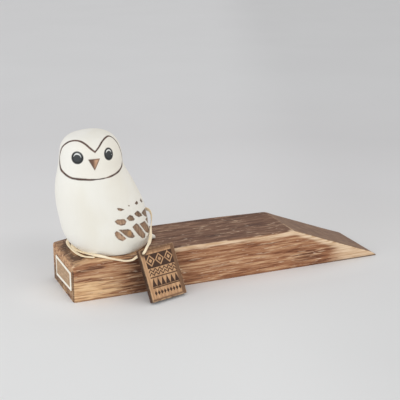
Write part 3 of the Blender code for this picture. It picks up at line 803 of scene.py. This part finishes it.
class WedgeSpots:
    """Where each of the wedge's points is, and which of its faces it is on."""

    def __init__(self, mesh):
        points, normals = vectors_of(mesh)
        x, self.y, self.z = points.T
        self.out_x, self.out_y, self.out_z = normals.T
        self.from_end = x - WEDGE_END
        self.from_ridge = x - RIDGE
        self.to_top = np.maximum(top_height(x) - self.z, 0.0)
        self.to_side = np.maximum(WEDGE_SIDE - abs(self.y), 0.0)
        self.to_corner = np.hypot(self.from_end, self.to_side)
        middle, half_length, half_width = FOOT_RING
        self.foot = np.hypot((x - OWL_X - middle) / half_length, self.y / half_width)
        self.upward = smooth(0.55, 0.9, self.out_z)
        self.upright = 1 - self.upward
        self.front = smooth(0.004, -0.004, self.y)
        self.on_end = smooth(0.6, 0.95, -self.out_x)
        past_ridge = smooth(-0.001, 0.001, self.from_ridge)
        self.top = self.upward * (1 - past_ridge)
        self.ramp = self.upward * past_ridge


def rub_mask(at):
    """Pale wood: rubbed on the front's upper edge, the ramp's side and the corner by the ridge's front;
    painted highlights along the ridge and on the near top corner of the end.
    """
    reach = np.interp(at.from_end, *np.array(RUB_REACH).T)
    start = np.interp(at.from_end, *np.array(RUB_START).T)
    sideways = smooth(0.10, 0.80, -at.out_y)
    edge = sideways * smooth(1.0, 0.2, at.to_top / reach + 0.6 * at.to_side / np.minimum(reach, 0.0042))
    edge *= smooth(start - 0.0010, start, at.to_top)
    ramp_side = 0.9 * sideways * smooth(0.225, 0.264, at.from_end)
    # painted highlight along the ridge
    ridge = smooth(0.0010, 0.0003, abs(at.from_ridge)) * smooth(0.004, 0.002, at.to_top)
    ridge *= 0.75 * smooth(0.034, -0.030, at.y)
    ridge_corner = smooth(0.0095, 0.0030, np.hypot(at.from_ridge, at.to_side))
    ridge_corner *= 0.6 * at.front * at.upward * smooth(0.001, -0.001, at.from_ridge)
    # painted highlight on the near top corner
    end_corner = at.front * smooth(0.0030, 0.0012, at.to_corner) * smooth(0.0024, 0.0010, at.to_top)
    return strongest(edge, ramp_side, ridge, ridge_corner, end_corner)


def scorch_mask(at):
    """Darker wood: a burnt edge at the near corner, and darker round the owl's foot, low on the end and
    beside the label.
    """
    ring = at.top * smooth(1.52, 1.26, at.foot) * smooth(1.04, 1.16, at.foot)
    ring *= smooth(0.0, 0.006, at.from_end) * smooth(0.075, 0.045, at.from_end)
    ring *= 1 - at.front * smooth(0.013, 0.006, at.to_side)
    corner = smooth(0.0050, 0.0010, at.to_corner) * smooth(0.35, 0.65, -at.out_x)
    corner *= 0.8 * at.upright * smooth(0.001, 0.006, at.to_top)
    below = at.on_end * smooth(0.0110, 0.0070, at.z)
    beside = smooth(0.0066, 0.0048, at.to_side) * smooth(0.004, 0.009, at.to_top)
    beside *= 0.9 * at.on_end * at.front
    return strongest(ring, corner, below, beside)


def streak_mask(at):
    """Dark front: streaks and a patch of dark wood, and a band behind the tag that is burnt wood with the
    tag's painted shadow.
    """
    # band behind the tag: burnt wood with the tag's painted shadow
    band = 0.68 * smooth(0.038, 0.056, at.from_end) * smooth(0.085, 0.070, at.from_end)
    middle, reach, most = DARK_PATCH
    from_patch = np.hypot((at.from_end - middle[0]) / reach[0], (at.z - middle[1]) / reach[1])
    masks = [band, most * smooth(1.2, 0.2, from_patch)]
    for start, end, level, slope, half, strength in SIDE_STREAKS:
        begun = smooth(start - 0.004, start + 0.002, at.from_end)
        going_on = smooth(end + 0.008, end - 0.002, at.from_end)
        aside = abs(at.z - level - slope * (at.from_end - start))
        masks.append(strength * begun * going_on * smooth(1.5 * half, 0.5 * half, aside))
    return at.front * at.upright * strongest(*masks)


def gold_mask(at):
    """Golden wood: low near the owl's end, and a stretch of the front's upper edge."""
    low = at.upright * smooth(0.062, 0.020, at.from_end) * smooth(0.0235, 0.0140, at.z)
    edge = smooth(0.018, 0.024, at.from_end) * smooth(0.044, 0.035, at.from_end)
    edge *= 0.75 * at.front * at.upright * smooth(0.0044, 0.0022, at.to_top)
    return strongest(low, edge)


def tan_mask(at):
    """Tan wood on the edges of the top and high on the end, and painted light: lighter wood close round the
    owl's foot, where shade falls.
    """
    along_front = at.front * smooth(0.017, 0.006, at.to_side) * smooth(0.090, 0.060, at.from_end)
    along_end = 0.45 * smooth(0.012, 0.004, at.from_end)
    edges = smooth(0.2, 0.6, at.out_z) * strongest(along_front, along_end)
    # painted light: lighter wood close round the owl's foot, against the shade there
    ring = at.upward * smooth(1.30, 1.12, at.foot) * smooth(0.075, 0.050, at.from_end)
    high = 0.75 * at.on_end * smooth(0.0115, 0.0160, at.z)
    return strongest(edges, ring, high)


def wedge_values(mesh):
    at = WedgeSpots(mesh)
    # painted contact shadow: a dark line along the foot of the sides, stronger towards the point
    foot_line = at.upright * smooth(0.0016, 0.0006, at.z) * (0.45 + 0.45 * smooth(0.20, 0.24, at.from_end))
    set_values(
        mesh, top=at.top, ramp=at.ramp, rub=rub_mask(at), gold=gold_mask(at), tan=tan_mask(at),
        scorch=scorch_mask(at), streaky=streak_mask(at), foot_line=foot_line,
    )


def slab(name, width, height, thick, edge, cell):
    """Board about the origin, facing -Y, with softened edges and a finely divided front."""
    columns, levels = round(width / cell), round(height / cell)
    xs = np.linspace(-width / 2 + edge, width / 2 - edge, columns + 1)
    zs = np.linspace(-height / 2 + edge, height / 2 - edge, levels + 1)
    grid = np.stack(np.meshgrid(xs, zs), axis=-1)
    index = np.arange(grid[..., 0].size).reshape(grid.shape[:2])
    quads = np.stack([index[:-1, :-1], index[:-1, 1:], index[1:, 1:], index[1:, :-1]], axis=-1)
    faces = quads.reshape(-1, 4).tolist()
    rim = np.concatenate([index[0, :-1], index[:-1, -1], index[-1, :0:-1], index[:0:-1, 0]])
    flat = grid.reshape(-1, 2)
    points = [np.insert(flat, 1, -thick / 2, axis=1)]
    loop = flat[rim]
    outward = unit(np.where(np.isclose(abs(loop), (xs[-1], zs[-1])), np.sign(loop), 0.0))
    turns = np.linspace(0.0, math.pi / 2, 5)
    steps = [(edge * math.sin(t), edge * (1 - math.cos(t))) for t in turns[1:]]
    back_steps = [(spread, thick - depth) for spread, depth in reversed(steps)]
    previous = rim
    total = len(flat)
    for spread, depth in steps + [(edge, thick / 2)] + back_steps + [(0.0, thick)]:
        points.append(np.insert(loop + outward * spread, 1, depth - thick / 2, axis=1))
        current = np.arange(total, total + len(loop))
        total += len(loop)
        faces += np.stack([previous, current, np.roll(current, -1), np.roll(previous, -1)], axis=-1).tolist()
        previous = current
    faces.append(previous[::-1].tolist())
    mesh = bpy.data.meshes.new(name)
    mesh.from_pydata(np.vstack(points), [], faces)
    mesh.shade_smooth()
    return new_object(name, mesh)


def label_finish():
    """Thin brown plate with a cream painted edge."""
    f = Finish("label_wood", 0.25)
    grain = f.noise((140.0, 60.0, 800.0))
    wood = f.mix(f.span(grain, 0.35, 0.65), srgb(164, 132, 102), srgb(198, 166, 132))
    wear = f.times(f.plus(f.noise((400.0, 400.0, 400.0), 3.0), -0.5), 0.7)
    border = f.span(f.plus(f.value("border"), wear), 0.4, 0.6)
    colour = f.mix(border, wood, srgb(252, 246, 232))
    return f.paint(colour, f.span(grain, 0.3, 0.7, 0.5, 0.65), grain, 0.00015)


def make_label():
    size = label_high - label_low
    label = slab("end_plate", size.y, size.z, size.x, LABEL_EDGE, LABEL_CELL)
    points, _ = vectors_of(label.data)
    x, _, z = points.T
    beside, above, below = LABEL_BORDER
    inner = np.minimum(size.y / 2 - abs(x) - beside, size.z / 2 - z - above)
    inner = np.minimum(inner, size.z / 2 + z - below)
    set_values(label.data, border=smooth(0.0003, -0.0003, inner))
    points[:, 2] += LABEL_TRIM * (0.5 + x / size.y) * (0.5 - z / size.z)
    label.data.vertices.foreach_set("co", points.ravel())
    label.data.materials.append(label_finish())
    middle = (label_low + label_high) / 2
    label.matrix_world = Matrix.Translation(middle) @ Matrix.Rotation(-math.pi / 2, 4, "Z")
    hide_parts("end_label")
    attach(label, "doorstop")


def tag_finish():
    """Burnt wood, pale where rubbed and dark in the engraving."""
    f = Finish("tag_wood", 0.25)
    grain = f.noise((900.0, 200.0, 70.0))
    stripes = f.span(grain, 0.35, 0.65)
    face = f.mix(stripes, srgb(176, 134, 98), srgb(210, 167, 126))
    dark = f.mix(stripes, srgb(56, 38, 28), srgb(84, 60, 46))
    wear = f.noise((350.0, 350.0, 350.0), 3.0)
    colour = f.layers(
        face,
        (f.value("border"), srgb(112, 80, 57)),
        (f.value("side"), dark),
        (f.times(f.value("rubbed"), f.span(wear, 0.35, 0.6)), srgb(200, 166, 130)),
        (f.value("engraved"), srgb(70, 47, 34)),
    )
    return f.paint(colour, f.span(grain, 0.3, 0.7, 0.5, 0.65), grain, 0.0002)


def saw(place):
    """1 at whole numbers, 0 half way between them."""
    return abs(place % 1.0 - 0.5) * 2.0


def engraving(x, z):
    """Plain bands between rules: lozenges on a dark ground, a double zigzag, triangles and small lozenges."""
    place = (x + ENGRAVED_HALF) / (2 * ENGRAVED_HALF) * ENGRAVED_CELLS
    from_row = abs(z - LOZENGES[0])
    lozenge = saw(place) + from_row / LOZENGES[1]
    ground = smooth(0.94, 1.04, lozenge) * smooth(0.0056, 0.0053, from_row)
    inner = smooth(0.74, 0.66, lozenge) * smooth(0.34, 0.42, lozenge)
    tooth = saw(2 * place)
    wave = ZIGZAG_RISE * (1.0 - 2.0 * tooth)
    zigzags = [smooth(0.00075, 0.00045, abs(z - level - wave)) for level in ZIGZAGS]
    up = z - TRIANGLES[0]
    triangles = smooth(-0.0001, 0.0002, np.minimum(up, (1.0 - tooth) * TRIANGLES[1] - up))
    rules = [smooth(0.00055, 0.0003, abs(z - level)) for level in RULES]
    small = smooth(0.95, 0.75, saw(3 * place) + abs(z - SMALL_LOZENGES[0]) / SMALL_LOZENGES[1])
    marks = strongest(ground, inner, *zigzags, triangles, *rules, small)
    return marks * smooth(ENGRAVED_HALF, ENGRAVED_HALF - 0.0003, abs(x))


def engrave_tag(mesh, hole):
    """Sinks the engraving, and marks the dark border, the sides and the rubbed edges."""
    points, out = vectors_of(mesh)
    x, y, z = points.T
    front = smooth(0.55, 0.85, -out[:, 1])
    engraved = engraving(x, z) * front
    near_hole = smooth(0.0046, 0.0016, np.hypot(x - hole.x, z - hole.z)) * front
    to_right, to_top = TAG_WIDTH / 2 - x, TAG_HEIGHT / 2 - z
    to_ends = TAG_HEIGHT / 2 - abs(z)
    to_edge = np.minimum(TAG_WIDTH / 2 - abs(x), to_ends)
    border = front * strongest(
        smooth(0.0030, 0.0012, np.minimum(to_right, to_ends)),
        0.9 * smooth(0.0054, 0.0034, to_right),
        0.6 * smooth(0.0048, 0.0026, to_top),
    )
    front_edge = smooth(0.0014, 0.0004, to_edge) * smooth(0.0012 - TAG_THICK / 2, -TAG_THICK / 2, y)
    rubbed = front_edge * np.where(z < 0.0016 - TAG_HEIGHT / 2, 1.0, 0.45)
    points[:, 1] += ENGRAVED_DEPTH * engraved
    mesh.vertices.foreach_set("co", points.ravel())
    engraved = np.maximum(engraved, 0.8 * near_hole)
    set_values(mesh, engraved=engraved, border=border, side=1 - front, rubbed=rubbed)


def make_tag():
    tag = slab("engraved_tag", TAG_WIDTH, TAG_HEIGHT, TAG_THICK, TAG_EDGE, TAG_CELL)
    hole = Vector((TAG_HOLE_INSET - TAG_WIDTH / 2, 0.0, TAG_HEIGHT / 2 - TAG_HOLE_INSET))
    through = Matrix.Translation(hole) @ Matrix.Rotation(math.pi / 2, 4, "X")
    cut(tag, [cylinder(through, TAG_HOLE_RADIUS, 2 * TAG_THICK)])
    mesh = tag.data
    engrave_tag(mesh, hole)
    mesh.materials.append(tag_finish())
    mesh.shade_smooth()
    mesh.set_sharp_from_angle(angle=math.radians(50))
    tag.matrix_world = tag_place() @ Matrix.Translation(-hole)
    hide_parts("hang_tag")
    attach(tag, "tag")


def tag_place():
    """The tag's own axes at its hole: X along it, Y into it and Z up it."""
    turn = math.atan2(TAG_LEVEL.y, TAG_LEVEL.x)
    return Matrix.Translation(TAG_PIVOT) @ Matrix.Rotation(turn, 4, "Z") @ Matrix.Rotation(-TAG_LEAN, 4, "X")


def straw_finish():
    """Pale flat straw: fibres run along it."""
    f = Finish("straw", 0.3)
    place = f.node("CombineXYZ", f.value("along"), f.value("around")).outputs[0]
    fibre = f.noise((60.0, 7.0, 1.0), 4.0, 0.6, place)
    patch = f.noise((45.0, 0.6, 1.0), 2.0, 0.5, place)
    colour = f.mix(f.span(fibre, 0.30, 0.66), srgb(250, 222, 182), srgb(255, 242, 214))
    colour = f.mix(f.times(f.span(patch, 0.5, 0.75), 0.5), colour, srgb(255, 248, 230))
    return f.paint(colour, 0.6, fibre, 0.0002)


def tube_rings(path, widths, thick, flat, closed=False):
    """Rings of a flattened tube along a path, turned gently to the directions in flat."""
    step = np.roll(path, -1, 0) - np.roll(path, 1, 0) if closed else np.gradient(path, axis=0)
    tangents = unit(step)
    out = UP + 0.1 * tangents[0][::-1]
    turns = np.linspace(0.0, -2 * math.pi, CORD_SIDES, endpoint=False)[:, None]
    rings = []
    for point, tangent, want, width in zip(path, tangents, flat, widths):
        out = unit(out - tangent * (out @ tangent))
        out = unit(out + FLAT_PULL * (want - tangent * (want @ tangent)))
        side = np.cross(tangent, out)
        rings.append(point + width / 2 * np.cos(turns) * side + thick / 2 * np.sin(turns) * out)
    return np.array(rings)


def cord_values(mesh, path):
    """How far along the cord each point is, and how far round it."""
    steps = np.linalg.norm(np.diff(path, axis=0, prepend=path[:1]), axis=1)
    along = np.repeat(np.cumsum(steps)[:, None], CORD_SIDES, axis=1)
    around = np.abs(np.linspace(-1.0, 1.0, CORD_SIDES, endpoint=False))[None] + 0 * along
    set_values(mesh, along=along, around=around)


def cord_path():
    """The cord's line, with the direction that its flat side faces and its width; its length and its knot."""
    start = np.array((WEDGE_END, 0.0, 0.0))
    routes = (TAIL_ROUTE, [KNOT_PLACE], WRAP_ROUTE, RETURN_ROUTE)
    tail, knot, wrap, back = (start + np.array(route) / ROUTE_UNITS for route in routes)
    place = tag_place()
    loop = np.array([place @ (Vector(point) / ROUTE_UNITS) for point in LOOP_ROUTE])
    forward = np.array((-0.3, -0.9, 0.3))
    round_owl = unit((wrap - (OWL_X, 0.0, 0.0)) * (1.0, 1.0, 0.0))
    hanging = smooth(-0.002, -0.016, wrap[:, 1:2])
    in_front = smooth(-0.027, -0.031, back[:, 1:2])
    on_tail, on_wrap, on_loop, on_back, before = CORD_WIDTHS
    stretches = (
        (tail, UP, on_tail),
        (knot, UP, on_tail),
        (wrap, round_owl * (1 - hanging) + forward * hanging, on_wrap),
        (loop, forward, on_loop),
        (back, UP * (1 - in_front) + forward * in_front, on_back + (before - on_back) * in_front),
        (knot, UP, on_back),
    )
    rows = [
        np.hstack([points, facing + 0 * points, width + 0 * points[:, :1]])
        for points, facing, width in stretches
    ]
    line = spline(np.vstack(rows), 24)
    length = np.linalg.norm(np.diff(line[:, :3], axis=0), axis=1).sum()
    line = evenly(line, round(length / CORD_STEP), 3)
    return line[:, :3], line[:, 3:6], line[:, 6], length, knot[0]


def make_knot(middle, straw):
    """A trefoil of round cord."""
    turn = np.linspace(0.0, 2 * math.pi, 90, endpoint=False)
    trefoil = np.stack([
        np.sin(turn) + 2 * np.sin(2 * turn), np.cos(turn) - 2 * np.cos(2 * turn), -1.2 * np.sin(3 * turn),
    ], axis=1)
    path = middle + KNOT_SIZE * trefoil
    rings = tube_rings(path, np.full(len(path), CORD_DIAMETER), CORD_DIAMETER, 0 * path, True)
    mesh = loft("knot", rings, joined=True)
    cord_values(mesh, path)
    return new_object("cord_tie", mesh, straw)


def make_cord():
    straw = straw_finish()
    path, flat, widths, length, knot_middle = cord_path()
    mesh = loft("cord", tube_rings(path, widths, CORD_THICK, flat))
    cord_values(mesh, path)
    cord = new_object("straw_cord", mesh, straw)
    knot = make_knot(knot_middle, straw)
    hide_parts("cord_tail", "cord_wrap", "cord_tag_loop", "cord_return")
    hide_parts("cord_knot")
    into_tag = tag_place().to_3x3() @ Vector((0.0, 1.0, 0.0))
    behind = [TAG_PIVOT + into_tag * depth for depth in BLEND_BEHIND]
    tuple(behind[0])
    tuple(behind[1])
    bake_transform(cord)
    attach(knot, "doorstop")
    tuple(path[0])


def zinc_finish():
    f = Finish("screw_zinc", metallic=1.0)
    scratch = f.noise((900.0, 900.0, 300.0), 3.0)
    colour = f.mix(f.span(scratch, 0.35, 0.65), srgb(176, 172, 164), srgb(206, 203, 196))
    return f.paint(colour, f.span(scratch, 0.3, 0.7, 0.3, 0.5), scratch, 0.0001)


def dress_screws():
    zinc = zinc_finish()
    for name in SCREWS:
        mesh = frame["nodes"][name].data
        mesh.materials.clear()
        mesh.materials.append(zinc)


def floor_finish():
    """Pale floor with painted light and shade: darker far away and to the right, with a painted shadow and
    painted pools of light.
    """
    f = Finish("pale_floor")
    mottle = f.noise((5.0, 5.0, 5.0), 2.0)
    view = Vector((-math.sin(CAMERA_TURN), math.cos(CAMERA_TURN), 0.0))
    colour = f.ramp(f.plus(f.along(view), FLOOR_NEAR), *FLOOR_SHADES)
    reach, most = FLOOR_ASIDE
    aside = f.span(f.along((view.y, -view.x, 0.0)), 0.0, reach, 0.0, most)
    shade = f.plus(aside, f.span(mottle, 0.3, 0.7, 0.0, 0.015))
    # painted shadow on the floor
    shade = f.plus(shade, f.patch(*FLOOR_SHADOW))
    # painted pools of light on the floor
    lights = [(f.patch(*light), WHITE) for light in FLOOR_LIGHTS]
    return f.paint(f.layers(colour, (shade, BLACK), *lights), 0.9)


def make_floor():
    bm = bmesh.new()
    bmesh.ops.create_grid(bm, x_segments=8, y_segments=8, size=FLOOR_SIZE)
    floor = new_object("floor", mesh_from(bm, "floor"), floor_finish())


def make_lights():
    world = bpy.data.worlds.new("studio")
    bpy.context.scene.world = world
    world.use_nodes = True
    sky = world.node_tree.nodes["Background"]
    sky.inputs["Color"].default_value = WHITE
    sky.inputs["Strength"].default_value = SKY_STRENGTH
    for name, place, size, power, colour in LIGHTS:
        light = bpy.data.lights.new(name, "AREA")
        light.size = size
        light.energy = power
        light.color = colour
        lamp = new_object(name, light)
        lamp.location = place
        lamp.rotation_euler = (LIGHTS_AIM - Vector(place)).to_track_quat("-Z", "Y").to_euler()


def make_camera():
    data = bpy.data.cameras.new("camera")
    data.lens = CAMERA_LENS
    camera = new_object("camera", data)
    camera.location = CAMERA_PLACE
    camera.rotation_euler = (math.pi / 2 - CAMERA_DIP, 0.0, CAMERA_TURN)
    bpy.context.scene.camera = camera
    bpy.context.scene.view_settings.view_transform = "Standard"


make_camera()
make_owl()
make_wedge()
make_label()
make_tag()
make_cord()
dress_screws()
make_floor()
make_lights()
